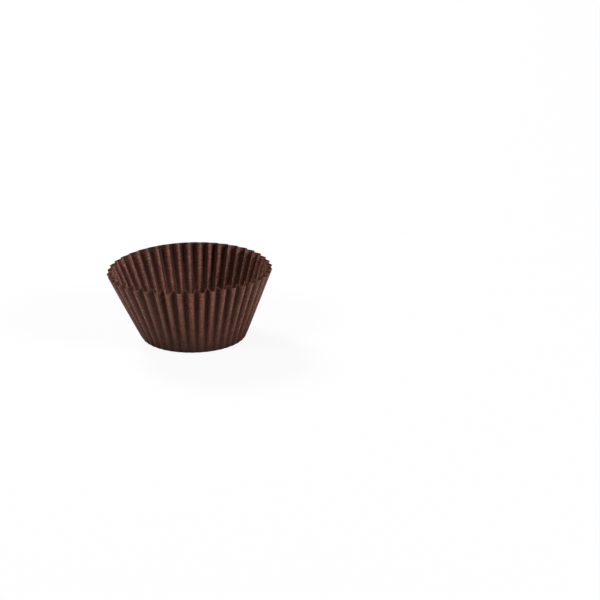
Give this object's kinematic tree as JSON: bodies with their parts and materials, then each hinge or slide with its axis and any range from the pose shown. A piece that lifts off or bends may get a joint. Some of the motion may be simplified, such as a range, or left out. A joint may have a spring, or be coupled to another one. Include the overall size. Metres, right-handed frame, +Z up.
{
  "type": "paper candy cup",
  "caption": "Small fluted paper cup for a single sweet, pressed from one disc of dark brown glassine paper, with a flat round base and a flared pleated wall.",
  "frame": {"origin": "middle of the base's underside", "axes": "+Z up out of the cup's mouth, +X to the right along the mouth's longer width, -Y towards the front"},
  "size_m": [0.0409, 0.0386, 0.0184],
  "materials": {
    "glassine_paper": "satin, thin and slightly see-through brown glassine"
  },
  "bodies": {
    "root": {"paper_cup": "glassine_paper"}
  },
  "joints": []
}
